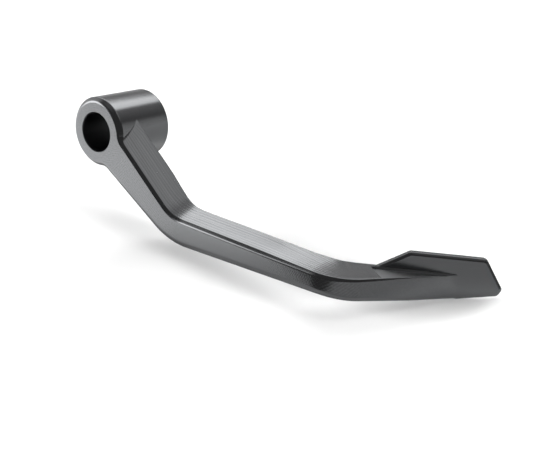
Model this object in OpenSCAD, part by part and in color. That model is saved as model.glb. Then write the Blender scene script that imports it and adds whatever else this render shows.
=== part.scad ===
// Brake lever guard, milled from one bar of aluminium.
// X points forward along the arm, Y inboard along the hub bore, Z up, as mounted on the right bar end.
// The origin is on the bore axis, in the outer face.

/* [Hub] */
// Outside diameter of the hub
hub_d = 32; // [31:0.5:36]
// Diameter of the through bore for the bar end mount
bore_d = 18; // [12:0.5:20]
// Length of the hub along the bore
hub_len = 32; // [24:0.5:40]
// Width of the chamfer round the outer face
rim_chamfer = 1.9; // [0.5:0.1:2.5]
// Width of the chamfer round the inner end
tail_chamfer = 0.8; // [0.2:0.1:1.5]
// Edge break at both mouths of the bore
bore_break = 0.4; // [0.1:0.1:0.8]

/* [Arm] */
// Depth of the arm, from its outer face to its back
arm_depth = 17.5; // [15:0.5:20]
// Slope of the upper edge of the drop arm, in degrees below level
drop_top_angle = 38.5; // [34:0.5:43]
// Slope of the lower edge of the drop arm, in degrees below level
drop_bottom_angle = 29.9; // [24:0.1:34]
// Distance from the bore axis to the drop arm's upper edge
drop_top_offset = 9.6; // [8:0.1:10.5]
// Distance from the bore axis to the drop arm's lower edge
drop_bottom_offset = 10.4; // [9:0.1:12]
// Level of the upper edge of the long arm, below the bore axis
top_level = 26.6; // [24:0.1:30]
// Height of the outer side of the long arm just past the first bend
arm_height = 12.9; // [11:0.1:15]
// Height of the long arm at its waist, in the second bend
waist_height = 9.1; // [8:0.1:11]
// Height of the arm where the blade starts
root_height = 11; // [9:0.1:13]
// Radius of the first bend on its upper, inner side
first_bend_inner_r = 18; // [10:1:24]
// Radius of the first bend on its lower, outer side
first_bend_outer_r = 36; // [24:1:46]
// Fillet between the hub and the upper edge of the drop arm
hub_fillet_r = 5.2; // [3:0.1:7]
// Fillet between the hub and the lower edge of the drop arm
belly_fillet_r = 8; // [5:0.5:11]

/* [Edges of the arm] */
// Height of the upper chamfer along the outer face
edge_height = 1.75; // [0.8:0.05:2.2]
// Height of the lower chamfer along the outer face
belly_edge_height = 2.2; // [0.8:0.1:2.6]
// Depth of both chamfers, measured inboard
edge_depth = 1.3; // [0.6:0.1:1.8]
// Edge break along the back of the arm
back_break = 0.5; // [0.2:0.1:0.8]

/* [Ridge] */
// Distance of the ridge inboard of the outer face, on the drop arm
ridge_depth = 11.8; // [10.5:0.1:13]
// Rise of the ridge over the drop arm's upper edge
ridge_rise = 5.2; // [2:0.1:5.4]
// Distance of the ridge inboard of the outer face, on the long arm
long_ridge_depth = 9.4; // [8:0.1:12]
// Rise of the ridge over the long arm's upper edge
long_ridge_rise = 4; // [1:0.1:5]
// Drop of the upper face at the back of the arm, below its outer edge
back_drop = 1.3; // [0.6:0.1:2]

/* [Second bend] */
// Distance from the bore axis forward to the corner of the second bend
reach = 137.4; // [120:0.1:150]
// Angle through which the outer face turns inboard
turn = 55; // [46:1:60]
// Radius of the outer face in the second bend
turn_r = 22; // [16:1:28]
// Radius of the back of the arm in the second bend
back_r = 26; // [18:1:36]

/* [Blade] */
// Angle of the blade from the long arm
blade_angle = 36; // [32:1:40]
// Length of the turned arm, from the bend's corner to the crease with the blade
root_len = 54.5; // [50:0.5:60]
// Thickness of the blade
blade_t = 3.2; // [2.8:0.1:4]
// Level of the blade's upper edge below the bore axis
blade_top_level = 18.7; // [16:0.1:21]
// Length of the blade ahead of the crease
blade_tip_len = 18.4; // [14:0.2:24]
// Length of the blade's foot behind the crease
blade_foot_len = 34.9; // [30:0.1:38]
// Length of the blade's upper edge behind the crease
blade_top_len = 20.4; // [16:0.2:24]
// Chamfer round the blade
blade_chamfer = 1.2; // [0.5:0.1:1.4]
// Width of the sloped root between the blade and the arm's upper face
root_slope = 1.65; // [1:0.05:2.2]

/* [Hidden] */
$fn = 96;
hub_r = hub_d / 2;
bore_r = bore_d / 2;
overlap = 0.02;
sink = 0.06;
turn_steps = 12;
bend_steps = 14;
corner_steps = 8;
hull_sides = 32;
far_x = 230;
bottom_level = top_level + root_height;

// Direction of an angle in degrees, a vector's direction, and the point a share of the way from a to b.
function direction(a) = [cos(a), sin(a)];
function unit(v) = v / norm(v);
function between(a, b, share) = a + (b - a) * share;

// A corner at b between a and c, rounded to radius r: the points of its arc.
function rounded_corner(a, b, c, r) =
    let (u = unit(a - b), v = unit(c - b),
         half = acos(u * v) / 2,
         cut = r / tan(half),
         middle = b + unit(u + v) * r / sin(half),
         from = b + u * cut - middle, to = b + v * cut - middle,
         start = atan2(from[1], from[0]),
         sweep = asin(max(-1, min(1, (from[0] * to[1] - from[1] * to[0]) / (r * r)))))
    [for (i = [0 : corner_steps])
        middle + r * direction(start + sweep * i / corner_steps)];

// Fillet from a circle of radius r about the bore axis to a straight line.
// lift is the direction from the axis square to the line, offset its distance, side the way round.
function fillet_arc(r, lift, offset, fillet, side) =
    let (away = side * acos((offset + fillet) / (r - sink + fillet)),
         middle = (r - sink + fillet) * direction(lift + away))
    [for (i = [0 : corner_steps])
        middle + fillet * direction(180 + lift + away * (1 - i / corner_steps))];
function top_fillet(r, offset, fillet) = fillet_arc(r, 90 - drop_top_angle, offset, fillet, -1);
function belly_fillet(r, offset, fillet) = fillet_arc(r, -90 - drop_bottom_angle, offset, fillet, 1);

// Side view of a line along the arm's upper side: down the drop arm, round the first bend, then level.
function top_line(offset, level, r) =
    let (slope = tan(drop_top_angle), over = offset / cos(drop_top_angle),
         start = [0, over], corner = [(over - level) / slope, level], end = [far_x, level])
    concat([start], rounded_corner(start, corner, end, r), [end]);

// The same along its lower side: under the first bend, rising to the waist, then down to the blade.
function belly_line(inset) =
    let (offset = drop_bottom_offset - inset, level = inset - top_level - arm_height,
         start = [0, -offset / cos(drop_bottom_angle)],
         corner = [(start[1] - level) / tan(drop_bottom_angle), level],
         waist = [reach - 8, inset - top_level - waist_height],
         root = [front_end()[0] - 12, min(inset, blade_chamfer) - bottom_level],
         end = [far_x, root[1]])
    concat([start], rounded_corner(start, corner, waist, first_bend_outer_r - inset),
        rounded_corner(corner, waist, root, 60), rounded_corner(waist, root, end, 60), [end]);

face_line = top_line(drop_top_offset - edge_height, -top_level - edge_height,
    first_bend_inner_r + edge_height);
edge_line = top_line(drop_top_offset, -top_level, first_bend_inner_r);
ridge_line = top_line(drop_top_offset + ridge_rise, long_ridge_rise - top_level, first_bend_inner_r - 1);
back_line = top_line(drop_top_offset - back_drop, -top_level - back_drop, first_bend_inner_r);
face_belly = belly_line(belly_edge_height);
belly = belly_line(0);
back_belly = belly_line(back_break);

// Plan of the outer face: along X, round the second bend, then straight to the crease.
turn_cut = turn_r * tan(turn / 2);
turn_start = reach - turn_cut;
function front_end() = [reach, 0] + root_len * direction(turn);
function on_turn(a) = [turn_start + turn_r * sin(a), turn_r * (1 - cos(a))];
function on_root(t) = between(on_turn(turn), front_end(), t);

// Plan of the back: level at the arm's depth, then parallel with the blade.
back_foot = front_end() + blade_t * [-sin(blade_angle), cos(blade_angle)];
back_corner_x = back_foot[0] - (back_foot[1] - arm_depth) / tan(blade_angle);
back_plan = concat([[-1, arm_depth]],
    rounded_corner([0, arm_depth], [back_corner_x, arm_depth], back_foot, back_r),
    [back_foot + 40 * direction(blade_angle)]);
function back_point(x) = [x, lookup(x, back_plan)];

// Stations of the arm past the hub: a point of the outer face's plan, the back's point across from it,
// and the share of the ridge that is left there. The ridge fades out through the second bend.
back_turn_x = back_corner_x + 3;
drop_x = 20;
bend_x = [38.5, 60.5];
fade_x = 100;
root_steps = 6;
function ridge_share(x) = 1 - max(0, min(1, (x - fade_x) / (on_turn(turn)[0] - fade_x)));
function station(f, back_x) = [f, back_point(back_x), ridge_share(f[0])];
function stations() = concat(
    [for (x = [drop_x, 29]) station([x, 0], x)],
    [for (i = [0 : bend_steps]) let (x = between(bend_x[0], bend_x[1], i / bend_steps)) station([x, 0], x)],
    [for (i = [1 : 8]) let (x = between(bend_x[1], turn_start - 1, i / 8)) station([x, 0], x)],
    [for (i = [0 : turn_steps])
        station(on_turn(turn * i / turn_steps), between(turn_start, back_turn_x, i / turn_steps))],
    [for (i = [1 : root_steps])
        station(on_root(i / root_steps), between(back_turn_x, back_foot[0], i / root_steps))]);

// The skin's lines, from the outer face to the back: shares of the way from the upper edge to the ridge,
// and then from the ridge to the back.
to_ridge = [0, 1 / 3, 2 / 3, 1];
to_back = [0.5, 0.85, 1];

// One section of the arm: the points of its upper side and those of its lower side, front to back.
function raised(p, z) = [p[0], p[1], z];
function section(s) =
    let (f = s[0], b = s[1], share = s[2], x = f[0], u = unit(b - f), depth = norm(b - f),
         turned = max(0, min(1, (x - bend_x[0]) / (bend_x[1] - bend_x[0]))),
         ridge_full = between(ridge_depth, long_ridge_depth, turned) * depth / arm_depth,
         ridge = between(depth - back_break, ridge_full, share),
         edge_z = lookup(x, edge_line), belly_z = lookup(x, belly),
         ridge_z = between(edge_z, lookup(x, ridge_line), share),
         back_z = between(edge_z - back_break, lookup(x, back_line), share))
    [concat([raised(f, lookup(x, face_line))],
        [for (t = to_ridge) raised(f + between(edge_depth, ridge, t) * u, between(edge_z, ridge_z, t))],
        [for (t = to_back) raised(f + between(ridge, depth, t) * u, between(ridge_z, back_z, t))]),
     concat([raised(f, lookup(x, face_belly))],
        [for (t = to_ridge) raised(f + between(edge_depth, ridge, t) * u, belly_z)],
        [raised(f + between(ridge, depth - back_break, 0.5) * u, belly_z),
         raised(f + (depth - back_break) * u, belly_z), raised(b, lookup(x, back_belly))])];

// The same lines where they run off the hub, each by its own fillet.
function upright(p, y) = [p[0], y, p[1]];
function rim_depth(i) = between(rim_chamfer, edge_depth, i / corner_steps);
function shoulder(i) =
    let (start = drop_top_offset, ridge = start + ridge_rise, back = start - back_drop,
         deepest = arm_depth - back_break)
    [concat([upright(top_fillet(hub_r - rim_chamfer, start - edge_height, hub_fillet_r + edge_height)[i], 0)],
        [for (t = to_ridge) upright(top_fillet(hub_r, between(start, ridge, t), hub_fillet_r - t)[i],
            between(rim_depth(i), ridge_depth, t))],
        [for (t = to_back) upright(top_fillet(hub_r, between(ridge, back, t), hub_fillet_r - 1 + t)[i],
            between(ridge_depth, arm_depth, t))]),
     concat([upright(belly_fillet(hub_r - rim_chamfer, drop_bottom_offset - belly_edge_height,
            belly_fillet_r + rim_chamfer)[i], 0)],
        [for (y = [for (t = to_ridge) between(rim_depth(i), ridge_depth, t)])
            upright(belly_fillet(hub_r, drop_bottom_offset, belly_fillet_r)[i], y)],
        [for (y = [between(ridge_depth, deepest, 0.5), deepest])
            upright(belly_fillet(hub_r, drop_bottom_offset, belly_fillet_r)[i], y)],
        [upright(belly_fillet(hub_r, drop_bottom_offset - back_break, belly_fillet_r + back_break)[i],
            arm_depth)])];

// The arm is one closed skin, sections of upper and lower points joined into rings.
module arm() {
    rings = [for (s = concat([for (i = [0 : corner_steps]) shoulder(i)], [for (s = stations()) section(s)]))
        concat(s[0], [for (k = [len(s[1]) - 1 : -1 : 0]) s[1][k]])];
    n = len(rings[0]);
    m = len(rings);
    half = n / 2;
    function cap(at) = [for (k = [0 : half - 2])
        each [[at + k, at + k + 1, at + n - 1 - k], [at + k + 1, at + n - 2 - k, at + n - 1 - k]]];
    polyhedron(
        points = [for (r = rings) each r],
        faces = concat(
            [for (f = cap(0)) [f[2], f[1], f[0]]],
            [for (i = [0 : m - 2]) for (k = [0 : n - 1])
                let (a = i * n + k, b = i * n + (k + 1) % n)
                each [[a, b, a + n], [b, b + n, a + n]]],
            cap((m - 1) * n)));
}

// The hub, turned about the bore axis.
module hub() {
    rotate([-90, 0, 0])
        rotate_extrude()
            polygon([[0, 0], [hub_r - rim_chamfer, 0], [hub_r, rim_chamfer],
                     [hub_r, hub_len - tail_chamfer], [hub_r - tail_chamfer, hub_len],
                     [0, hub_len]]);
}

module bore() {
    rotate([-90, 0, 0]) {
        translate([0, 0, -1])
            cylinder(r = bore_r, h = hub_len + 2);
        translate([0, 0, -overlap])
            cylinder(r1 = bore_r + bore_break + overlap, r2 = bore_r, h = bore_break + overlap);
        translate([0, 0, hub_len - bore_break])
            cylinder(r1 = bore_r, r2 = bore_r + bore_break + overlap, h = bore_break + overlap);
    }
}

// Frame of the blade: X along its length from the crease, Y inboard through its thickness.
module at_blade() {
    c = front_end();
    translate([c[0], c[1], 0])
        rotate([0, 0, blade_angle])
            children();
}

// One rounded corner of the blade, chamfered at its outer face. x and z are the corner's centre.
module blade_corner(x, z, r) {
    translate([x, 0, z])
        rotate([-90, 0, 0]) {
            cylinder(r = r - blade_chamfer * 0.95, h = blade_t, $fn = hull_sides);
            translate([0, 0, blade_chamfer])
                cylinder(r = r, h = blade_t - blade_chamfer - back_break, $fn = hull_sides);
        }
}

// The blade, from its foot up and over to the tip and back under the arm.
module blade() {
    at_blade() hull() {
        blade_corner(2 - blade_foot_len, -top_level - 1.7, 2);
        blade_corner(-blade_top_len, -blade_top_level - 2.3, 2.3);
        blade_corner(blade_tip_len - 9.8, -blade_top_level - 3, 3);
        blade_corner(blade_tip_len - 1.8, 6 - bottom_level, 1.8);
        blade_corner(blade_tip_len - 2.5, 4.6 - bottom_level, 1.8);
        blade_corner(0.5, 2 - bottom_level, 2);
        blade_corner(6 - blade_foot_len, 4 - bottom_level, 1.5);
    }
}

// Sloped root from the blade's outer face down to the arm's upper face.
// It is cut off by the arm's outer face, and by the edge that rises from the blade's foot.
module blade_root() {
    rise = atan2(top_level - blade_top_level, blade_foot_len - blade_top_len);
    intersection() {
        at_blade()
            translate([1 - blade_foot_len, 0, -top_level])
                rotate([90, 0, 90])
                    linear_extrude(blade_foot_len - 1)
                        polygon([[-root_slope - 3, -3], [0, root_slope], [1, root_slope], [1, -3]]);
        at_blade()
            translate([-blade_foot_len, -10, -top_level])
                rotate([0, -rise, 0])
                    translate([-20, 0, -40])
                        cube([80, 20, 40]);
        translate([reach, 0, -top_level - 10])
            rotate([0, 0, turn])
                cube([root_len + 20, 40, 20]);
    }
}

module lever_guard() {
    color("dimgray")
        difference() {
            union() {
                hub();
                arm();
                blade();
                blade_root();
            }
            bore();
        }
}

lever_guard();
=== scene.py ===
# %% [markdown]
# A brake lever guard: one piece of aluminium, milled, turned and anodised in a dark satin grey.
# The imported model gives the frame: metres, X forward along the arm, Y inboard along the bore, Z up.
# It is loaded first, so that every piece can be placed by its numbers.

# %% Load the frame
import math

import bmesh
import bpy
from mathutils import Matrix, Vector


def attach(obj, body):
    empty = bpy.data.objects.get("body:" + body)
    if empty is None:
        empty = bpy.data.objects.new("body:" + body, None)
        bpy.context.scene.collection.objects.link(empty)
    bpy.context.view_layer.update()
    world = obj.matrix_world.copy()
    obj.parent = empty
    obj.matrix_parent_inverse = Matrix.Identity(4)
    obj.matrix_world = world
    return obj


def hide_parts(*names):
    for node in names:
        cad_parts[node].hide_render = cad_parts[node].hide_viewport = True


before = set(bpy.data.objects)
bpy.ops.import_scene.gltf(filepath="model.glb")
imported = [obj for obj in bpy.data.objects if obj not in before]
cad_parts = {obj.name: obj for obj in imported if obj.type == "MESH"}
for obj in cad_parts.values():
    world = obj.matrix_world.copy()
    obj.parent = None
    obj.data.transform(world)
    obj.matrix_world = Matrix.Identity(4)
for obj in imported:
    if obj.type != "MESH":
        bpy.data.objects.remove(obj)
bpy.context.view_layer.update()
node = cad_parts["lever_guard"]

# %% [markdown]
# The camera stands to the right of the hub and a little above it, looking down the arm.
# Its place and its three axes were found by matching the model's edges with the photograph.

# %% Camera
CAMERA_PLACE = Vector((0.30874, -0.28559, 0.12232))
CAMERA_RIGHT = Vector((0.78477, 0.61294, 0.09189))
CAMERA_UP = Vector((-0.29740, 0.24233, 0.92349))
CAMERA_BACK = Vector((0.54377, -0.75206, 0.37246))
FOCAL_PIXELS = 930.0
IMAGE_WIDTH = 533
SENSOR_WIDTH = 36.0

camera_data = bpy.data.cameras.new("camera")
camera_data.sensor_fit = "HORIZONTAL"
camera_data.sensor_width = SENSOR_WIDTH
camera_data.lens = SENSOR_WIDTH * FOCAL_PIXELS / IMAGE_WIDTH
camera_data.clip_start = 0.01
camera = bpy.data.objects.new("camera", camera_data)
camera_axes = Matrix((CAMERA_RIGHT, CAMERA_UP, CAMERA_BACK)).transposed().to_4x4()
camera.matrix_world = Matrix.Translation(CAMERA_PLACE) @ camera_axes
bpy.context.scene.collection.objects.link(camera)
bpy.context.scene.camera = camera
bpy.context.scene.view_settings.view_transform = "Standard"
print("camera lens", round(camera_data.lens, 2), "mm")

# %% [markdown]
# The guard lies on the table on its first bend and the tip of its blade, so the table is tilted in the
# guard's own frame. The table's direction is known; its level is that of the lowest point of the guard.
# It is one large disc, so that its edge is never near the guard in any view.

# %% Table under the guard
TABLE_UP = Vector((0.0197, -0.1729, 0.9847)).normalized()
TABLE_RADIUS = 40.0
BELOW_ARM = Vector((0.09, 0.03, 0.0))
lowest = min(TABLE_UP.dot(v.co) for v in node.data.vertices)
table_middle = BELOW_ARM - TABLE_UP * (TABLE_UP.dot(BELOW_ARM) - lowest)
table_way = TABLE_UP.orthogonal().normalized()
table_cross = TABLE_UP.cross(table_way)
table_edge = [table_middle + TABLE_RADIUS * (math.cos(a) * table_way + math.sin(a) * table_cross)
              for a in [math.tau * i / 64 for i in range(64)]]
table_mesh = bpy.data.meshes.new("table")
table_mesh.from_pydata(table_edge, [], [list(range(64))])
table = bpy.data.objects.new("table", table_mesh)
bpy.context.scene.collection.objects.link(table)
if table_mesh.polygons[0].normal.dot(TABLE_UP) < 0:
    table_mesh.flip_normals()
print("table level", round(lowest, 4))

# %% [markdown]
# Materials are made of nodes. A small helper adds a node, sets its plain values and links its inputs, so
# that each material below reads as a list of what feeds what. Four more make the steps that come back
# often: a sum or product, a soft change from one value to another, how far a place lies in a direction,
# and a node tree without the nodes that Blender puts there.

# %% Node helpers
def add(tree, kind, values=None, links=None, **settings):
    made = tree.nodes.new(kind)
    for name, value in settings.items():
        setattr(made, name, value)
    for name, value in (values or {}).items():
        made.inputs[name].default_value = value
    for name, source in (links or {}).items():
        tree.links.new(source, made.inputs[name])
    return made


def arithmetic(tree, operation, *terms):
    made = add(tree, "ShaderNodeMath", operation=operation)
    for socket, term in zip(made.inputs, terms):
        if isinstance(term, (int, float)):
            socket.default_value = term
        else:
            tree.links.new(term, socket)
    return made.outputs[0]


def fade(tree, value, first, last, low, high):
    made = add(tree, "ShaderNodeMapRange",
               {"From Min": first, "From Max": last, "To Min": low, "To Max": high}, {"Value": value},
               interpolation_type="SMOOTHSTEP")
    return made.outputs["Result"]


def along_way(tree, position, direction):
    made = add(tree, "ShaderNodeVectorMath", {1: direction}, {0: position}, operation="DOT_PRODUCT")
    return made.outputs["Value"]


def emptied(tree):
    tree.nodes.clear()
    return tree


print("helpers:", ", ".join(helper.__name__ for helper in (add, arithmetic, fade, along_way, emptied)))

# %% [markdown]
# The table is white card. The camera sees it a little lighter than its own light would make it, and plain
# white far away, so that it runs into the white background, and it keeps the guard's soft shadow. Its
# underside lets the view through. In a studio the card round an object is not equally bright, and bare
# metal shows that. Here that is painted light and shade, which only glossy rays see: a painted bright area
# on the left, where a lit panel would be, painted shade in front, where a dark flag would stand, painted
# grey on the right and painted shade under the hub. Real cards and flags would also change the shadow, so
# there are none. Each is a soft fade along one of two directions, and says where it starts and ends, in
# metres, and its level before and after. Part of this painted light glows by itself and part is the lamps'
# own, so that the guard's shadow shows in the metal too.

# %% White table
TABLE_RIGHT = Vector((0.78477, 0.61293, 0.09192))
TABLE_FRONT = TABLE_RIGHT.cross(TABLE_UP)
CAMERA_GLOW, FAR_GLOW, GLOW_FROM, GLOW_TO = 0.06, 1.0, 0.5, 1.5
PAINTED_GLOW_SHARE, LAMP_LIT_PAINTED_SHARE = 0.35, 0.43
# painted light and shade on the card, seen only by glossy rays: bright left, shade in front, grey right,
# shade under the hub
PAINTED_PANEL_LIGHT = (-0.03, 0.07, 2.0, 0.8)
PAINTED_FLAG_SHADE = (0.093, 0.103, 1.0, 0.0)
PAINTED_RIGHT_SIDE = (0.072, 0.086, 0.11, 0.55)
PAINTED_SHADE_UNDER_HUB = (0.0, 0.022, 0.3, 1.0)
PAINTED_SHADE_ENDS_PAST_HUB = (0.02, 0.05, 0.0, 1.0)
ARM_SLANT = -0.86

white = bpy.data.materials.new("white_card")
white.use_nodes = True
card = emptied(white.node_tree)
grain = add(card, "ShaderNodeTexNoise", {"Scale": 60.0, "Detail": 3.0})
tone = add(card, "ShaderNodeMapRange", {"To Min": 0.78, "To Max": 0.82}, {"Value": grain.outputs["Fac"]})
matt = add(card, "ShaderNodeBsdfDiffuse", None, {"Color": tone.outputs["Result"]})
place = add(card, "ShaderNodeTexCoord").outputs["Object"]
to_right, to_front = along_way(card, place, TABLE_RIGHT), along_way(card, place, TABLE_FRONT)
painted_open_table = add(card, "ShaderNodeMix", None, {"Factor": fade(card, to_front, *PAINTED_FLAG_SHADE),
                                               "A": fade(card, to_right, *PAINTED_RIGHT_SIDE),
                                               "B": fade(card, to_right, *PAINTED_PANEL_LIGHT)})
# painted shade under the hub, ending past the hub
off_arm = arithmetic(card, "MULTIPLY_ADD", to_right, ARM_SLANT, to_front)
painted_hub_shade = arithmetic(card, "MAXIMUM", fade(card, off_arm, *PAINTED_SHADE_UNDER_HUB), fade(card, to_right, *PAINTED_SHADE_ENDS_PAST_HUB))
painted_reflection = arithmetic(card, "MULTIPLY", painted_open_table.outputs["Result"], painted_hub_shade)
card_ray = add(card, "ShaderNodeLightPath")
far_off = add(card, "ShaderNodeVectorMath", None, {0: place}, operation="LENGTH").outputs["Value"]
glow = arithmetic(card, "MULTIPLY", fade(card, far_off, GLOW_FROM, GLOW_TO, CAMERA_GLOW, FAR_GLOW),
                  card_ray.outputs["Is Camera Ray"])
glowing = add(card, "ShaderNodeEmission", {"Color": (1, 1, 1, 1)}, {"Strength": glow})
to_camera = add(card, "ShaderNodeAddShader", None, {0: matt.outputs[0], 1: glowing.outputs[0]})
# the painted reflection: part a painted glow of the card, part a painted tone lit by the lamps
painted_glow = add(card, "ShaderNodeEmission", {"Color": (1, 1, 1, 1)},
          {"Strength": arithmetic(card, "MULTIPLY", painted_reflection, PAINTED_GLOW_SHARE)})
lamp_lit_painted_card = add(card, "ShaderNodeBsdfDiffuse", None,
               {"Color": arithmetic(card, "MULTIPLY", painted_reflection, LAMP_LIT_PAINTED_SHARE)})
painted_reflection_shader = add(card, "ShaderNodeAddShader", None, {0: painted_glow.outputs[0], 1: lamp_lit_painted_card.outputs[0]})
upper_side = add(card, "ShaderNodeMixShader", None,
                 {0: card_ray.outputs["Is Glossy Ray"], 1: to_camera.outputs[0], 2: painted_reflection_shader.outputs[0]})
underside = add(card, "ShaderNodeBsdfTransparent")
facing = add(card, "ShaderNodeNewGeometry")
both = add(card, "ShaderNodeMixShader", None,
           {0: facing.outputs["Backfacing"], 1: upper_side.outputs[0], 2: underside.outputs[0]})
add(card, "ShaderNodeOutputMaterial", None, {"Surface": both.outputs[0]})
table_mesh.materials.append(white)
print("table material", white.name, "with", len(card.nodes), "nodes")

# %% [markdown]
# The studio is a white tent that is not equally bright all round, and the guard's metal mirrors it: a long
# softbox behind, a panel on the left, dimmer walls, and a lamp and a ceiling overhead. Each is a soft lobe:
# a heading and a height in degrees, seen from the guard with 0 to the front and 90 to the right, an inner
# and an outer radius, and a strength. The brightest lobe in a direction counts, so that they don't add up
# where they meet. Area lamps would mirror as hard rectangles, and lobes in the world have soft edges. The
# tent doesn't light the table, and the camera sees plain white instead of it.

# %% Studio tent
TENT_LEVEL = 0.12
LOBES = [
    ("softbox behind", 178, 44, 12, 18, 3.5),
    ("its left end", 203, 44, 12, 18, 3.7),
    ("its right end", 153, 43, 12, 18, 3.5),
    ("wall behind", 180, 10, 50, 90, 0.45),
    ("wall on the left", -132, 25, 15, 42, 0.95),
    ("lamp overhead", 62, 65, 10, 36, 1.05),
    ("ceiling", 150, 82, 15, 45, 0.6),
    ("wall on the right", 95, -5, 10, 30, 0.75),
    ("panel on the left", -98, 12, 18, 28, 5.0),
]


def pointing(turn_to, height_to):
    flat, up = math.radians(turn_to), math.radians(height_to)
    level_part = math.cos(flat) * TABLE_FRONT + math.sin(flat) * TABLE_RIGHT
    return math.cos(up) * level_part + math.sin(up) * TABLE_UP


studio = bpy.data.worlds.new("studio")
bpy.context.scene.world = studio
studio.use_nodes = True
sky = emptied(studio.node_tree)
outward = add(sky, "ShaderNodeTexCoord").outputs["Generated"]
dim = add(sky, "ShaderNodeValue")
dim.outputs[0].default_value = TENT_LEVEL
bright = dim.outputs[0]
for title, turn_to, height_to, inner, outer, strength in LOBES:
    near = along_way(sky, outward, pointing(turn_to, height_to))
    lobe = add(sky, "ShaderNodeMapRange",
               {"From Min": math.cos(math.radians(outer)), "From Max": math.cos(math.radians(inner)),
                "To Max": strength}, {"Value": near}, interpolation_type="SMOOTHSTEP", label=title)
    bright = arithmetic(sky, "MAXIMUM", bright, lobe.outputs["Result"])
sky_ray = add(sky, "ShaderNodeLightPath")
not_diffuse = arithmetic(sky, "SUBTRACT", 1.0, sky_ray.outputs["Is Diffuse Ray"])
tent = add(sky, "ShaderNodeBackground", {"Color": (1, 1, 1, 1)},
           {"Strength": arithmetic(sky, "MULTIPLY", bright, not_diffuse)})
plain = add(sky, "ShaderNodeBackground", {"Color": (1, 1, 1, 1), "Strength": 1.0})
shown = add(sky, "ShaderNodeMixShader", None,
            {0: sky_ray.outputs["Is Camera Ray"], 1: tent.outputs[0], 2: plain.outputs[0]})
add(sky, "ShaderNodeOutputWorld", None, {"Surface": shown.outputs[0]})
print("tent with", len(LOBES), "lobes")

# %% [markdown]
# The table gets its light and the guard's shadow from five wide, soft lamps. Their headings and shares were
# chosen so that the shadow falls as in the photograph: three low ones draw it out to both sides, and two
# high ones fill it. A lamp's energy is set from its share of the card's light, whatever its height. The
# metal doesn't mirror the lamps, because the tent already stands for them.

# %% Lamps
CARD_WHITE = 0.8
LAMP_SPREAD = math.radians(26)
LAMPS = [("low right", 60, 12, 0.26), ("low behind", 130, 12, 0.33), ("low left", -90, 12, 0.37),
         ("high right", 120, 66, 0.18), ("high behind", 182, 48, 0.14)]
for title, turn_to, height_to, share in LAMPS:
    sun = bpy.data.lights.new(title, "SUN")
    sun.energy = share * math.pi / (CARD_WHITE * math.sin(math.radians(height_to)))
    sun.angle = LAMP_SPREAD
    lamp = bpy.data.objects.new(title, sun)
    lamp.rotation_euler = pointing(turn_to, height_to).to_track_quat("Z", "Y").to_euler()
    lamp.visible_glossy = False
    bpy.context.scene.collection.objects.link(lamp)
print(len(LAMPS), "lamps give", round(sum(share for *_, share in LAMPS), 2), "of the card's light")

# %% [markdown]
# The guard is milled from one bar, yet it is easiest to make as a few closed meshes that are joined at the
# end: the arm, the hub, the blade and the sloped root between arm and blade. The sizes below are in
# millimetres, the way a drawing gives them, and are turned into metres when a mesh is made. Distances and
# levels are from the bore axis, depths from the outer face. HAIR keeps faces of two pieces from lying
# exactly in each other, which a boolean can't resolve.

# %% Sizes of the guard
MM = 0.001
HUB_RADIUS = 16.0
HUB_LENGTH = 32.0
RIM = 1.9
TAIL = 0.8
BORE_RADIUS = 9.0
BORE_BREAK = 0.4
ARM_DEPTH = 17.5
DROP_TOP_ANGLE = math.radians(38.5)
DROP_BOTTOM_ANGLE = math.radians(29.9)
DROP_TOP = 9.6
DROP_BOTTOM = 10.4
TOP_LEVEL = -26.6
BELLY_LEVEL = TOP_LEVEL - 12.9
WAIST_LEVEL = TOP_LEVEL - 9.1
ROOT_LEVEL = TOP_LEVEL - 11.0
EDGE_HEIGHT = 1.4
BELLY_EDGE_HEIGHT = 2.2
EDGE_DEPTH = 1.05
BACK_BREAK = 0.5
BACK_DROP = 1.3
RIDGE_DEPTH, RIDGE_RISE = 11.8, 5.2
LONG_RIDGE_DEPTH, LONG_RIDGE_RISE = 9.4, 4.0
BEND_START, BEND_END = 38.5, 60.5
FADE_START = 100.0
REACH = 137.4
TURN = math.radians(55)
TURN_RADIUS, BACK_RADIUS = 22.0, 26.0
ROOT_LENGTH = 54.5
BLADE_ANGLE = math.radians(36)
BLADE_THICKNESS = 3.2
BLADE_CHAMFER = 1.2
HAIR = 0.05
FAR = 230.0
STEPS = 12
print("hub", 2 * HUB_RADIUS, "mm across, arm reaches", REACH, "mm to its second bend")

# %% [markdown]
# Every edge of the arm is a line seen from the side: straight, round a bend, straight again. So a few
# small functions do most of the work: a rounded corner, a fillet that leaves the hub's circle, and a
# look-up that gives a line's height at any distance along the arm. A fillet starts SUNK below the hub's
# surface, so that the arm and the hub overlap and can be joined cleanly.

# %% Lines and corners
SUNK = 0.06


def towards(angle):
    return Vector((math.cos(angle), math.sin(angle)))


def rounded_corner(a, b, c, radius):
    u, v = (a - b).normalized(), (c - b).normalized()
    half = math.acos(u.dot(v)) / 2
    centre = b + (u + v).normalized() * radius / math.sin(half)
    start = b + u * radius / math.tan(half) - centre
    sweep = start.angle_signed(b + v * radius / math.tan(half) - centre)
    return [centre + Matrix.Rotation(-sweep * i / STEPS, 2) @ start for i in range(STEPS + 1)]


def fillet(radius, lift, offset, size, side):
    away = side * math.acos((offset + size) / (radius - SUNK + size))
    centre = (radius - SUNK + size) * towards(lift + away)
    return [centre + size * towards(math.pi + lift + away * (1 - i / STEPS)) for i in range(STEPS + 1)]


def height(line, x):
    for a, b in zip(line, line[1:]):
        if a.x <= x <= b.x:
            return a.y + (b.y - a.y) * (x - a.x) / max(b.x - a.x, 1e-9)
    return line[-1].y


corner_test = rounded_corner(Vector((0, 10)), Vector((0, 0)), Vector((10, 0)), 2)
print("a rounded corner runs from", corner_test[0][:], "to", corner_test[-1][:])

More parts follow.
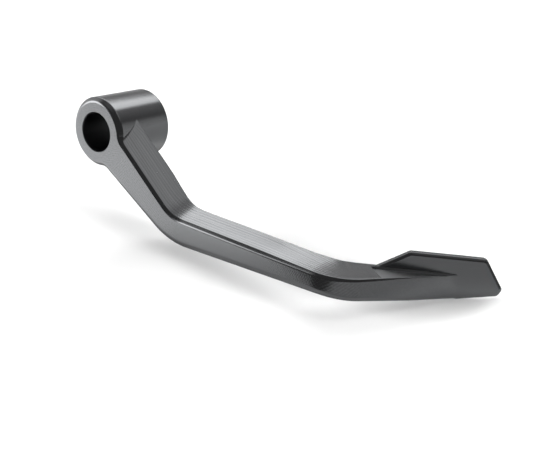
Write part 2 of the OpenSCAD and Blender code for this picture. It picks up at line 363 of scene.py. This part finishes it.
# %% [markdown]
# Seen from the side, the arm drops from the hub, turns level in the first bend and runs on to the blade.
# Its lines are not quite parallel: the arm is tall under the first bend and slimmer at its waist. The
# lines could be curve objects, but plain lists of points are easier to measure at any distance.

# %% Side view of the arm
UPPER_BEND, RIDGE_BEND = 18.0, 17.0
LOWER_BEND, WAIST_BEND = 36.0, 60.0


def upper_line(offset, level, radius):
    start = Vector((0, offset / math.cos(DROP_TOP_ANGLE)))
    corner = Vector(((start.y - level) / math.tan(DROP_TOP_ANGLE), level))
    end = Vector((FAR, level))
    return [start, *rounded_corner(start, corner, end, radius), end]


CREASE = Vector((REACH, 0)) + ROOT_LENGTH * towards(TURN)


def lower_line(inset):
    start = Vector((0, -(DROP_BOTTOM - inset) / math.cos(DROP_BOTTOM_ANGLE)))
    level = BELLY_LEVEL + inset
    corner = Vector(((start.y - level) / math.tan(DROP_BOTTOM_ANGLE), level))
    waist = Vector((REACH - 8, WAIST_LEVEL + inset))
    foot = Vector((CREASE.x - 12, ROOT_LEVEL + min(inset, BLADE_CHAMFER)))
    end = Vector((FAR, foot.y))
    return [start, *rounded_corner(start, corner, waist, LOWER_BEND - inset),
            *rounded_corner(corner, waist, foot, WAIST_BEND),
            *rounded_corner(waist, foot, end, WAIST_BEND), end]


FACE_LINE = upper_line(DROP_TOP - EDGE_HEIGHT, TOP_LEVEL - EDGE_HEIGHT, UPPER_BEND + EDGE_HEIGHT)
EDGE_LINE = upper_line(DROP_TOP, TOP_LEVEL, UPPER_BEND)
RIDGE_LINE = upper_line(DROP_TOP + RIDGE_RISE, TOP_LEVEL + LONG_RIDGE_RISE, RIDGE_BEND)
BACK_LINE = upper_line(DROP_TOP - BACK_DROP, TOP_LEVEL - BACK_DROP, UPPER_BEND)
FACE_BELLY, BELLY, BACK_BELLY = lower_line(BELLY_EDGE_HEIGHT), lower_line(0), lower_line(BACK_BREAK)
print("level at x = 90:", [round(height(line, 90), 2) for line in (RIDGE_LINE, EDGE_LINE, BELLY)])

# %% [markdown]
# Seen from above, the outer face turns inboard in the second bend and ends at the crease with the blade.
# The back of the arm turns on its own radius and closes in on the blade, so the arm thins towards it. A
# station is a place along the arm: a point on the outer face and its partner on the back. The stations
# stand close together in the two bends, and the last one reaches a little into the blade.

# %% Plan of the arm
TURN_START = REACH - TURN_RADIUS * math.tan(TURN / 2)
TURN_END = Vector((TURN_START + TURN_RADIUS * math.sin(TURN), TURN_RADIUS * (1 - math.cos(TURN))))
BACK_FOOT = CREASE + (BLADE_THICKNESS - HAIR) * Vector((-math.sin(BLADE_ANGLE), math.cos(BLADE_ANGLE)))
BACK_CORNER = Vector((BACK_FOOT.x - (BACK_FOOT.y - ARM_DEPTH) / math.tan(BLADE_ANGLE), ARM_DEPTH))
BACK_PLAN = [Vector((-1, ARM_DEPTH)),
             *rounded_corner(Vector((0, ARM_DEPTH)), BACK_CORNER, BACK_FOOT, BACK_RADIUS),
             BACK_FOOT + 40 * towards(BLADE_ANGLE)]
BACK_TURN = BACK_CORNER.x + 3
INTO_BLADE = 0.6


def station(front, back_x):
    return front, Vector((back_x, height(BACK_PLAN, back_x)))


def spaced(first, last, count):
    return [first + (last - first) * i / count for i in range(count + 1)]


straight = [20, 29, *spaced(BEND_START, BEND_END, 22), *spaced(64, TURN_START - 1, 9)]
stations = [station(Vector((x, 0)), x) for x in straight]
stations += [station(Vector((TURN_START + TURN_RADIUS * math.sin(a), TURN_RADIUS * (1 - math.cos(a)))), back)
             for a, back in zip(spaced(0, TURN, 20), spaced(TURN_START, BACK_TURN, 20))]
stations += [station(TURN_END.lerp(CREASE, t), BACK_TURN + (BACK_FOOT.x - BACK_TURN) * t)
             for t in spaced(0, 1, 10)[1:-1]]
stations.append((CREASE + INTO_BLADE * towards(TURN), BACK_FOOT + INTO_BLADE * towards(BLADE_ANGLE)))
print(len(stations), "stations along the arm")

# %% [markdown]
# A section of the arm has eight points on its upper side and eight below. The upper face is not level: it
# rises from the outer edge to a ridge, which runs up onto the hub as a pointed arch, and falls away
# behind it. Through the second bend the ridge fades out, and the arm meets the blade with a flat top. The
# upper chamfer gets slimmer there, down to a hair line at the crease. A curve with a bevel would keep one
# profile all the way, so the sections are worked out one by one and joined into a skin.

# %% Sections of the arm
SLIM_IN_BEND, SLIM_TO_CREASE = 0.22, 0.5
RISING, FALLING = [0, 1 / 3, 2 / 3, 1], [0.5, 0.85, 1]


def raised(point, z):
    return Vector((point.x, point.y, z))


def share_of(x, first, last):
    return min(1, max(0, (x - first) / (last - first)))


def section(front, back):
    x, depth = front.x, (back - front).length
    out = (back - front).normalized()
    share = 1 - share_of(x, FADE_START, TURN_END.x)
    past_drop = share_of(x, BEND_START, BEND_END)
    full = (RIDGE_DEPTH + (LONG_RIDGE_DEPTH - RIDGE_DEPTH) * past_drop) * depth / ARM_DEPTH
    ridge = depth - BACK_BREAK + (full - depth + BACK_BREAK) * share
    edge_z, belly_z = height(EDGE_LINE, x), height(BELLY, x)
    ridge_z = edge_z + (height(RIDGE_LINE, x) - edge_z) * share
    back_z = edge_z - BACK_BREAK + (height(BACK_LINE, x) - edge_z + BACK_BREAK) * share
    slim = 1 - SLIM_IN_BEND * (1 - share) - SLIM_TO_CREASE * share_of(x, TURN_END.x, CREASE.x)
    edge = EDGE_DEPTH * slim ** 3
    upper = [raised(front, edge_z + (height(FACE_LINE, x) - edge_z) * slim)]
    upper += [raised(front + out * (edge + (ridge - edge) * t), edge_z + (ridge_z - edge_z) * t)
              for t in RISING]
    upper += [raised(front + out * (ridge + (depth - ridge) * t), ridge_z + (back_z - ridge_z) * t)
              for t in FALLING]
    lower = [raised(front, height(FACE_BELLY, x))]
    lower += [raised(front + out * (EDGE_DEPTH + (ridge - EDGE_DEPTH) * t), belly_z) for t in RISING]
    lower += [raised(front + out * ((ridge + depth - BACK_BREAK) / 2), belly_z),
              raised(front + out * (depth - BACK_BREAK), belly_z), raised(back, height(BACK_BELLY, x))]
    return upper + lower[::-1]


print("a section has", len(section(*stations[0])), "points")

# %% [markdown]
# Near the hub the same lines leave the hub's circle, each by its own fillet: a tight one at the ridge and
# wider ones at the outer edge and under the arm. They start a hair inside the hub, for a clean joint.

# %% Shoulder between hub and arm
TOP_LIFT, BELLY_LIFT = math.pi / 2 - DROP_TOP_ANGLE, -math.pi / 2 - DROP_BOTTOM_ANGLE
TOP_FILLET, RIDGE_FILLET, BELLY_FILLET = 5.2, 4.2, 8.0


def shoulder(i):
    def top(radius, offset, size):
        return fillet(radius, TOP_LIFT, offset, size, -1)[i]

    def under(radius, offset, size):
        return fillet(radius, BELLY_LIFT, offset, size, 1)[i]

    rim = RIM + (EDGE_DEPTH - RIM) * i / STEPS
    ridge, back = DROP_TOP + RIDGE_RISE, DROP_TOP - BACK_DROP
    upper = [(top(HUB_RADIUS - RIM, DROP_TOP - EDGE_HEIGHT, TOP_FILLET + EDGE_HEIGHT), 0)]
    upper += [(top(HUB_RADIUS, DROP_TOP + RIDGE_RISE * t, TOP_FILLET - t), rim + (RIDGE_DEPTH - rim) * t)
              for t in RISING]
    upper += [(top(HUB_RADIUS, ridge + (back - ridge) * t, RIDGE_FILLET + t),
               RIDGE_DEPTH + (ARM_DEPTH - RIDGE_DEPTH) * t) for t in FALLING]
    lower = [(under(HUB_RADIUS - RIM, DROP_BOTTOM - BELLY_EDGE_HEIGHT, BELLY_FILLET + RIM), 0)]
    deepest = ARM_DEPTH - BACK_BREAK
    depths = [rim + (RIDGE_DEPTH - rim) * t for t in RISING] + [(RIDGE_DEPTH + deepest) / 2, deepest]
    lower += [(under(HUB_RADIUS, DROP_BOTTOM, BELLY_FILLET), y) for y in depths]
    lower += [(under(HUB_RADIUS, DROP_BOTTOM - BACK_BREAK, BELLY_FILLET + BACK_BREAK), ARM_DEPTH)]
    return [Vector((p.x, y, p.y)) for p, y in upper + lower[::-1]]


arm_rings = [shoulder(i) for i in range(STEPS + 1)] + [section(*s) for s in stations]
print(len(arm_rings), "sections from hub to blade")

# %% [markdown]
# No milled part has perfectly sharp edges: they are deburred, and the small round catches the light. So
# most corners of a section become a short curve. The points are counted from the outer face's upper edge,
# point 0, over the ridge and round the back to its lower edge, point 15. Those two long edges are rounded
# most, which gives the thin bright line along the outer face.

# %% Rounded edges
EDGE_CUT = {0: 0.6, 1: 0.25, 4: 0.45, 7: 0.4, 8: 0.3, 9: 0.3, 14: 0.35, 15: 0.7}
CURVE = [0, 0.25, 0.5, 0.75, 1]


def bent(before, corner, after, cut):
    a = corner + (before - corner) * min(0.4, cut / max((before - corner).length, 1e-6))
    b = corner + (after - corner) * min(0.4, cut / max((after - corner).length, 1e-6))
    return [a * (1 - t) ** 2 + corner * (2 * t * (1 - t)) + b * t ** 2 for t in CURVE]


def softened(ring):
    points, owners = [], []
    for k, corner in enumerate(ring):
        if k in EDGE_CUT:
            made = bent(ring[k - 1], corner, ring[(k + 1) % len(ring)], EDGE_CUT[k])
        else:
            made = [corner]
        points += made
        owners += [k] * len(made)
    return points, owners


soft_rings = [softened(ring)[0] for ring in arm_rings]
corner_of = softened(arm_rings[0])[1]
print(len(corner_of), "points in a rounded section")

# %% [markdown]
# The rings are joined into one closed skin. Each face remembers which finish it gets: the outer face and
# the upper face are milled in different directions, and the chamfers are cut smoother. A map along and
# across the arm is stored with the faces, so that the tool marks can follow every bend.

# %% Skin of the arm
FINISHES = ["milled_face", "milled_top", "chamfer", "turned", "bore", "blade_face", "pocket_floor"]
BETWEEN = {0: "chamfer", 1: "milled_top", 2: "milled_top", 3: "milled_top", 4: "milled_top",
           5: "milled_top", 6: "milled_top", 7: "milled_face", 8: "chamfer", 14: "chamfer",
           15: "milled_face"}


def closed_mesh(name, points, faces, finishes, maps):
    mesh = bpy.data.meshes.new(name)
    mesh.from_pydata([p * MM for p in points], [], faces)
    uv = mesh.uv_layers.new(name="tool_path")
    for polygon, finish, corners in zip(mesh.polygons, finishes, maps):
        polygon.material_index = FINISHES.index(finish)
        for loop, at in zip(polygon.loop_indices, corners):
            uv.data[loop].uv = (at[0] * MM, at[1] * MM)
    mesh.validate()
    made = bpy.data.objects.new(name, mesh)
    bpy.context.scene.collection.objects.link(made)
    editable = bmesh.new()
    editable.from_mesh(mesh)
    bmesh.ops.recalc_face_normals(editable, faces=editable.faces)
    editable.to_mesh(mesh)
    editable.free()
    return made


def skin(name, rings, finish_of):
    size, points, faces, finishes, maps = len(rings[0]), [], [], [], []
    for ring in rings:
        points += ring
    far = [0.0]
    for before, ring in zip(rings, rings[1:]):
        far.append(far[-1] + (sum(ring, Vector()) - sum(before, Vector())).length / size)
    girth = []
    for ring in rings:
        girth.append([0.0])
        for k in range(size):
            girth[-1].append(girth[-1][-1] + (ring[(k + 1) % size] - ring[k]).length)
    for i in range(len(rings) - 1):
        for k in range(size):
            j = (k + 1) % size
            faces.append((i * size + k, i * size + j, (i + 1) * size + j, (i + 1) * size + k))
            finishes.append(finish_of(k))
            maps.append([(far[i], girth[i][k]), (far[i], girth[i][k + 1]),
                         (far[i + 1], girth[i + 1][k + 1]), (far[i + 1], girth[i + 1][k])])
    for i in (0, len(rings) - 1):
        faces.append(tuple(range(i * size, (i + 1) * size)))
        finishes.append(finish_of(0))
        maps.append([(far[i], g) for g in girth[i][:-1]])
    return closed_mesh(name, points, faces, finishes, maps)


def arm_finish(k):
    here, after = corner_of[k], corner_of[(k + 1) % len(corner_of)]
    return BETWEEN.get(here, "milled_face") if here != after else "chamfer"


arm = skin("arm", soft_rings, arm_finish)
print("arm:", len(arm.data.polygons), "faces")

# %% [markdown]
# The hub and the cutter for its bore are turned shapes: a profile of distance along the axis and radius,
# swept round the bore axis. The hub has a chamfer round its outer face and a small one at the inner end.
# The cutter widens at its ends, which breaks the edges of the bore's mouths. Blender's own cylinder would
# have sharp edges and no map for the turning marks.

# %% Hub and bore
def turned_shape(name, profile, finish_at, count=192):
    points, faces, finishes, maps = [], [], [], []
    for y, radius in profile:
        points += [Vector((radius * math.cos(a), y, radius * math.sin(a)))
                   for a in [math.tau * i / count for i in range(count)]]
    run = [0.0]
    for a, b in zip(profile, profile[1:]):
        run.append(run[-1] + math.dist(a, b))
    for i in range(len(profile) - 1):
        widest = max(profile[i][1], profile[i + 1][1])
        for k in range(count):
            j = (k + 1) % count
            faces.append((i * count + k, i * count + j, (i + 1) * count + j, (i + 1) * count + k))
            finishes.append(finish_at(i))
            u, v = math.tau * k / count * widest, math.tau * (k + 1) / count * widest
            maps.append([(u, run[i]), (v, run[i]), (v, run[i + 1]), (u, run[i + 1])])
    for i in (0, len(profile) - 1):
        faces.append(tuple(range(i * count, (i + 1) * count)))
        finishes.append(finish_at(i))
        maps.append([(points[i * count + k].x, points[i * count + k].z) for k in range(count)])
    return closed_mesh(name, points, faces, finishes, maps)


def soft_profile(corners, cuts):
    made = [corners[0]]
    for before, corner, after, cut in zip(corners, corners[1:], corners[2:], cuts):
        made += [tuple(p) for p in bent(Vector(before), Vector(corner), Vector(after), cut)]
    return made + [corners[-1]]


CORE_RADIUS = 2.0
CUTTER_END, CUTTER_FLARE = 2.0, 2.4
hub_corners = [(0, CORE_RADIUS), (0, HUB_RADIUS - RIM), (RIM, HUB_RADIUS), (HUB_LENGTH - TAIL, HUB_RADIUS),
               (HUB_LENGTH, HUB_RADIUS - TAIL), (HUB_LENGTH, CORE_RADIUS)]
hub_profile = soft_profile(hub_corners, [0.8, 0.25, 0.3, 0.3])
hub = turned_shape("hub", hub_profile, lambda i: "milled_face" if i < 3 else "chamfer" if i < 9 else "turned")
bore_corners = [(-CUTTER_END, BORE_RADIUS + CUTTER_FLARE), (BORE_BREAK, BORE_RADIUS),
                (HUB_LENGTH - BORE_BREAK, BORE_RADIUS), (HUB_LENGTH + CUTTER_END, BORE_RADIUS + CUTTER_FLARE)]
bore = turned_shape("bore_cutter", soft_profile(bore_corners, [0.25, 0.25]), lambda i: "bore")
print("hub:", len(hub.data.polygons), "faces, bore cutter:", len(bore.data.polygons))

# %% [markdown]
# The blade is a flat plate with seven rounded corners. Its outline is a belt pulled round seven discs, each
# given by its distance from the crease along the blade, its level and its radius, so that each corner can
# be as round as the real one. The outer face has a wide chamfer all round, and the back a small one.

# %% Blade
BLADE_CORNERS = [(-32.9, TOP_LEVEL - 1.7, 2.0), (-28.9, ROOT_LEVEL + 4, 1.5), (0.5, ROOT_LEVEL + 2, 2.0),
                 (15.9, ROOT_LEVEL + 4.6, 1.8), (16.6, ROOT_LEVEL + 6, 1.8), (8.6, -21.7, 3.0),
                 (-20.4, -21.0, 2.3)]
CHAMFER_WIDTH, CHAMFER_DEPTH = 0.95, 0.55


def belt(corners):
    normals = []
    for (ax, az, ar), (bx, bz, br) in zip(corners, corners[1:] + corners[:1]):
        leg = Vector((bx - ax, bz - az))
        normals.append(math.atan2(leg.y, leg.x) - math.pi / 2 + math.asin((br - ar) / leg.length))
    made = []
    for k, (x, z, radius) in enumerate(corners):
        first, last = normals[k - 1], normals[k]
        last += math.tau * round((first - last) / math.tau)
        for a in spaced(first, last, 8):
            made.append((Vector((x, z)) + radius * towards(a), towards(a)))
    return made


def on_blade(s, y, z):
    at = CREASE + Matrix.Rotation(BLADE_ANGLE, 2) @ Vector((s, y))
    return Vector((at.x, at.y, z))


outline = belt(BLADE_CORNERS)
drawn_in = -CHAMFER_WIDTH * BLADE_CHAMFER
blade_corners = [(0, drawn_in - 2), (0, drawn_in), (CHAMFER_DEPTH * BLADE_CHAMFER, 0),
                 (BLADE_THICKNESS - BACK_BREAK, 0), (BLADE_THICKNESS, drawn_in),
                 (BLADE_THICKNESS, drawn_in - 2)]
blade_side = soft_profile(blade_corners, [0.35, 0.25, 0.3, 0.3])[1:-1]
blade_rings = [[on_blade(p.x + n.x * grown, y, p.y + n.y * grown) for p, n in outline]
               for y, grown in blade_side]
around, last_ring = len(outline), len(blade_side) - 1
blade_faces = [(i * around + k, i * around + (k + 1) % around,
                (i + 1) * around + (k + 1) % around, (i + 1) * around + k)
               for i in range(last_ring) for k in range(around)]
blade_maps = [[(0, 0)] * 4 for face in blade_faces]
blade_finishes = ["chamfer"] * len(blade_faces)
for i in (0, last_ring):
    blade_faces.append(tuple(range(i * around, (i + 1) * around)))
    blade_finishes.append("blade_face")
    blade_maps.append([(p.x, p.y) for p, n in outline])
blade_points = [p for ring in blade_rings for p in ring]
blade = closed_mesh("blade", blade_points, blade_faces, blade_finishes, blade_maps)
print("blade:", len(outline), "points round its outline")

# %% [markdown]
# The blade rises out of a shallow pocket in the arm's upper face. The pocket's floor dips from the arm's
# outer edge towards the blade, and a steep slope leads from the floor up to the blade's face. Seen from
# outside, the two make a long V that ends in a fine point at the crease. Both are prisms: a lower and an
# upper outline with sides between them. The pocket's prism is cut out of the arm, and the slope's is joined
# to the blade after its outer side has been cut off flat, just behind the arm's outer face. SLOPE_RISE is
# its steepness: millimetres up for each millimetre in.

# %% Pocket and slope at the blade
FLOOR_DIP = math.radians(4)
POCKET_LENGTH, POCKET_WALL, WELL_OUTSIDE = 36.5, 0.3, 20.0
SLOPE_FOOT = TOP_LEVEL + 0.35
SLOPE_RISE, SLOPE_REACH = 1.9, 3.0
SLOPE_START, SLOPE_END, SLOPE_CUT = -34.6, -1.0, 0.4
CLOSE = 1e-7
arm_way = towards(TURN)
inward = Vector((-arm_way.y, arm_way.x))


def floor_under(spot):
    return TOP_LEVEL - (spot - CREASE).dot(inward) * math.tan(FLOOR_DIP)


def prism(name, lower, upper, finish):
    corners = len(lower)
    sides = [(k, (k + 1) % corners, corners + (k + 1) % corners, corners + k) for k in range(corners)]
    faces = [tuple(range(corners)), tuple(range(corners, 2 * corners)), *sides]
    flat = [((p.xy - CREASE).dot(arm_way), (p.xy - CREASE).dot(inward)) for p in lower + upper]
    maps = [[flat[k] for k in face] for face in faces]
    return closed_mesh(name, lower + upper, faces, [finish] * len(faces), maps)


near_end = CREASE + POCKET_WALL * inward
far_end = on_blade(-POCKET_LENGTH, POCKET_WALL, 0).xy
plan = [near_end, far_end, far_end - WELL_OUTSIDE * inward, CREASE - WELL_OUTSIDE * inward]
pocket = prism("pocket", [raised(p, floor_under(p)) for p in plan], [raised(p, 0) for p in plan],
               "pocket_floor")
slope_bottom = SLOPE_FOOT - SLOPE_REACH * SLOPE_RISE
slope = [(-SLOPE_REACH, slope_bottom), (0, SLOPE_FOOT), (1, SLOPE_FOOT), (1, slope_bottom)]
root = prism("root", [on_blade(SLOPE_START, y, z) for y, z in slope],
             [on_blade(SLOPE_END, y, z) for y, z in slope], "blade_face")
shaped = bmesh.new()
shaped.from_mesh(root.data)
opened = bmesh.ops.bisect_plane(shaped, geom=shaped.verts[:] + shaped.edges[:] + shaped.faces[:],
                                plane_co=(CREASE + SLOPE_CUT * inward).to_3d() * MM,
                                plane_no=-inward.to_3d(), clear_outer=True, dist=CLOSE)
cut_edges = [part for part in opened["geom_cut"] if isinstance(part, bmesh.types.BMEdge)]
bmesh.ops.contextual_create(shaped, geom=cut_edges)
bmesh.ops.recalc_face_normals(shaped, faces=shaped.faces)
for face in shaped.faces:
    face.material_index = FINISHES.index("blade_face")
print("slope:", len(shaped.verts), "corners, closed:", all(edge.is_manifold for edge in shaped.edges))
shaped.to_mesh(root.data)
shaped.free()

# %% [markdown]
# Now the pieces are joined, the pocket is cut and the bore is cut last. The real guard is one piece of metal,
# and pieces that only overlap would still look like several where they meet, so booleans make one skin of
# them. The exact solver keeps each face's finish.

# %% Join the pieces
def join(target, tool, operation):
    boolean = target.modifiers.new(tool.name, "BOOLEAN")
    boolean.operation = operation
    boolean.solver = "EXACT"
    boolean.material_mode = "TRANSFER"
    boolean.object = tool


pieces = (arm, hub, pocket, blade, root, bore)
for piece in pieces:
    for finish in FINISHES:
        piece.data.materials.append(bpy.data.materials.get(finish) or bpy.data.materials.new(finish))
join(blade, root, "UNION")
join(arm, hub, "UNION")
join(arm, pocket, "DIFFERENCE")
join(arm, blade, "UNION")
join(arm, bore, "DIFFERENCE")
built = bpy.data.meshes.new_from_object(arm.evaluated_get(bpy.context.evaluated_depsgraph_get()))
guard = bpy.data.objects.new("guard", built)
bpy.context.scene.collection.objects.link(guard)
for piece in pieces:
    bpy.data.objects.remove(piece)
print("guard:", len(built.polygons), "faces,", len(built.materials), "finishes")

# %% [markdown]
# The booleans leave a few corners twice, and one pass merges them, so that the mesh is closed like the real
# piece of metal. Faces that meet at less than SMOOTH_BELOW are then shaded as one smooth surface, and the
# large flat faces decide the shading of the small rounds beside them. This one piece replaces the packed
# solid and rides on its body.

# %% Close and shade the guard
SMOOTH_BELOW = math.radians(24)
joined = bmesh.new()
joined.from_mesh(built)
bmesh.ops.remove_doubles(joined, verts=joined.verts, dist=CLOSE)
open_edges = sum(not edge.is_manifold for edge in joined.edges)
print("open edges:", open_edges, "volume", round(joined.calc_volume() / MM ** 3), "mm3")
joined.to_mesh(built)
joined.free()
built.shade_smooth()
built.set_sharp_from_angle(angle=SMOOTH_BELOW)
weigh = guard.modifiers.new("weighted normals", "WEIGHTED_NORMAL")
weigh.keep_sharp = True
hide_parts("lever_guard")
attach(guard, "root")

# %% [markdown]
# Two effects are shared by all the finishes, so each is a node group with its amounts as inputs. Tool marks
# are fine lines that a cutter leaves along its path: noise that is stretched along the path stored with
# the mesh, with grooves that waver a little. They are far finer than the mesh, so they are bump and tint.
# Pitch and Length are in millimetres, Turn in degrees.

# %% Tool marks
def group(name, inputs, outputs):
    made = bpy.data.node_groups.new(name, "ShaderNodeTree")
    for title, value in inputs.items():
        kind = "NodeSocketColor" if isinstance(value, tuple) else "NodeSocketFloat"
        made.interface.new_socket(title, in_out="INPUT", socket_type=kind).default_value = value
    for title, kind in outputs.items():
        made.interface.new_socket(title, in_out="OUTPUT", socket_type=kind)
    return made, made.nodes.new("NodeGroupInput").outputs, made.nodes.new("NodeGroupOutput").inputs


WAVER, GROOVE = 3.0, 0.16
marks, marks_in, marks_out = group(
    "tool_marks", {"Pitch": 1.2, "Length": 30.0, "Turn": 0.0, "Depth": 1.0},
    {"Height": "NodeSocketFloat", "Mask": "NodeSocketFloat"})
tool_path = add(marks, "ShaderNodeUVMap", uv_map="tool_path")
turned = add(marks, "ShaderNodeVectorRotate", None,
             {"Vector": tool_path.outputs["UV"], "Angle": arithmetic(marks, "RADIANS", marks_in["Turn"])},
             rotation_type="Z_AXIS")
ways = add(marks, "ShaderNodeSeparateXYZ", None, {0: turned.outputs[0]})
run_mm = arithmetic(marks, "MULTIPLY", ways.outputs["X"], 1000.0)
lane_run = arithmetic(marks, "DIVIDE", run_mm, marks_in["Length"])
step_mm = arithmetic(marks, "MULTIPLY", ways.outputs["Y"], 1000.0)
step = arithmetic(marks, "DIVIDE", step_mm, marks_in["Pitch"])
lane = add(marks, "ShaderNodeCombineXYZ", None, {"X": lane_run, "Y": step})
lines = add(marks, "ShaderNodeTexNoise", {"Scale": 1.0, "Detail": 2.0, "Roughness": 0.6},
            {"Vector": lane.outputs[0]}).outputs["Fac"]
wavering = arithmetic(marks, "MULTIPLY_ADD", lines, WAVER, arithmetic(marks, "MULTIPLY", step, math.tau))
groove = arithmetic(marks, "MULTIPLY_ADD", arithmetic(marks, "SINE", wavering), GROOVE, lines)
marks.links.new(arithmetic(marks, "MULTIPLY", groove, marks_in["Depth"]), marks_out["Height"])
marks.links.new(groove, marks_out["Mask"])
print("group", marks.name, "with", len(marks.nodes), "nodes")

# %% [markdown]
# The anodised layer is never quite even: soft clouds a few centimetres wide change its tone, the clouds
# and a fine grain change its gloss, and a streak such as the tool marks' mask can tint it along the cuts.

# %% Anodised layer
CLOUD_SCALE, GRAIN_SCALE = 55.0, 1600.0
layer, layer_in, layer_out = group(
    "anodised_layer", {"Tone": (0.15, 0.153, 0.158, 1.0), "Clouds": 0.06, "Gloss": 0.3,
                       "Gloss change": 0.04, "Streak": 0.5, "Streak depth": 0.0},
    {"Color": "NodeSocketColor", "Roughness": "NodeSocketFloat"})
on_part = add(layer, "ShaderNodeTexCoord").outputs["Object"]
cloud = add(layer, "ShaderNodeTexNoise", {"Scale": CLOUD_SCALE, "Detail": 4.0, "Roughness": 0.6},
            {"Vector": on_part}).outputs["Fac"]
fine = add(layer, "ShaderNodeTexNoise", {"Scale": GRAIN_SCALE, "Detail": 1.0},
           {"Vector": on_part}).outputs["Fac"]
clouded = arithmetic(layer, "MULTIPLY_ADD", arithmetic(layer, "ADD", cloud, -0.5), layer_in["Clouds"], 1.0)
streak = arithmetic(layer, "ADD", layer_in["Streak"], -0.5)
streaked = arithmetic(layer, "MULTIPLY_ADD", streak, layer_in["Streak depth"], clouded)
toned = add(layer, "ShaderNodeVectorMath", None, {0: layer_in["Tone"], 1: streaked}, operation="MULTIPLY")
uneven = arithmetic(layer, "ADD", arithmetic(layer, "ADD", cloud, fine), -1.0)
gloss = arithmetic(layer, "MULTIPLY_ADD", uneven, layer_in["Gloss change"], layer_in["Gloss"])
layer.links.new(toned.outputs[0], layer_out["Color"])
layer.links.new(gloss, layer_out["Roughness"])
print("group", layer.name, "with", len(layer.nodes), "nodes")

# %% [markdown]
# Each finish is the same metal with other tool marks. The shader is a plain metal: a dark, slightly cool
# tone, a roughness from the layer, and a bump from up to two sets of marks that cross each other. Two tones
# are given, and not by what the metal is: the bore's is darker than the rest, painted shade, and the pocket's
# floor lighter, a painted highlight, because this studio's light doesn't reach them as it does in the
# photograph. In each set the marks are (pitch, length, turn, depth), and the last set also tints the metal.

# %% Finishes
GREY = (0.15, 0.153, 0.157, 1.0)
# painted shade: the bore's tone is darker than the rest of the metal
BORE_PAINTED_SHADE = (0.045, 0.046, 0.048, 1.0)
# painted highlight: the pocket floor's tone is lighter than the rest of the metal
FLOOR_PAINTED_HIGHLIGHT = (0.22, 0.224, 0.229, 1.0)
MARK_HEIGHT = 0.0002
FINISH = {
    "milled_face": dict(tone=GREY, gloss=0.19, change=0.08, streak=0.50, bump=0.12,
                        marks=[(0.9, 3.0, 58.0, 1.0), (0.8, 0.8, -58.0, 1.0)]),
    "milled_top": dict(tone=GREY, gloss=0.25, change=0.06, streak=0.42, bump=0.24,
                       marks=[(0.9, 2.5, 90.0, 0.5), (1.25, 60.0, 0.0, 1.0)]),
    "chamfer": dict(tone=GREY, gloss=0.17, change=0.03, streak=0.0, bump=0.05,
                    marks=[(0.5, 40.0, 0.0, 1.0)]),
    "turned": dict(tone=GREY, gloss=0.20, change=0.03, streak=0.05, bump=0.08,
                   marks=[(0.35, 120.0, 0.0, 1.0)]),
    "bore": dict(tone=BORE_PAINTED_SHADE, gloss=0.40, change=0.04, streak=0.0, bump=0.10,
                 marks=[(0.4, 120.0, 0.0, 1.0)]),
    "blade_face": dict(tone=GREY, gloss=0.25, change=0.05, streak=0.05, bump=0.10,
                       marks=[(0.9, 5.0, 58.0, 1.0), (0.9, 5.0, -58.0, 1.0)]),
    "pocket_floor": dict(tone=FLOOR_PAINTED_HIGHLIGHT, gloss=0.40, change=0.04, streak=0.10, bump=0.10,
                         marks=[(0.8, 20.0, 0.0, 1.0)]),
}


def placed(tree, effect, amounts):
    made = add(tree, "ShaderNodeGroup", node_tree=effect)
    for title, value in amounts.items():
        made.inputs[title].default_value = value
    return made


for finish, made_of in FINISH.items():
    metal = bpy.data.materials[finish]
    metal.use_nodes = True
    coat = emptied(metal.node_tree)
    surface = placed(coat, layer, {"Tone": made_of["tone"], "Gloss": made_of["gloss"],
                                   "Gloss change": made_of["change"], "Streak depth": made_of["streak"]})
    cuts = [placed(coat, marks, {"Pitch": pitch, "Length": length, "Turn": turn_by, "Depth": depth})
            for pitch, length, turn_by, depth in made_of["marks"]]
    raised_by = cuts[0].outputs["Height"]
    for crossing in cuts[1:]:
        raised_by = arithmetic(coat, "ADD", raised_by, crossing.outputs["Height"])
    coat.links.new(cuts[-1].outputs["Mask"], surface.inputs["Streak"])
    bump = add(coat, "ShaderNodeBump", {"Strength": made_of["bump"], "Distance": MARK_HEIGHT},
               {"Height": raised_by})
    shader = add(coat, "ShaderNodeBsdfPrincipled", {"Metallic": 1.0},
                 {"Base Color": surface.outputs["Color"], "Roughness": surface.outputs["Roughness"],
                  "Normal": bump.outputs["Normal"]})
    add(coat, "ShaderNodeOutputMaterial", None, {"Surface": shader.outputs[0]})
print("finishes:", ", ".join(metal.name for metal in built.materials))
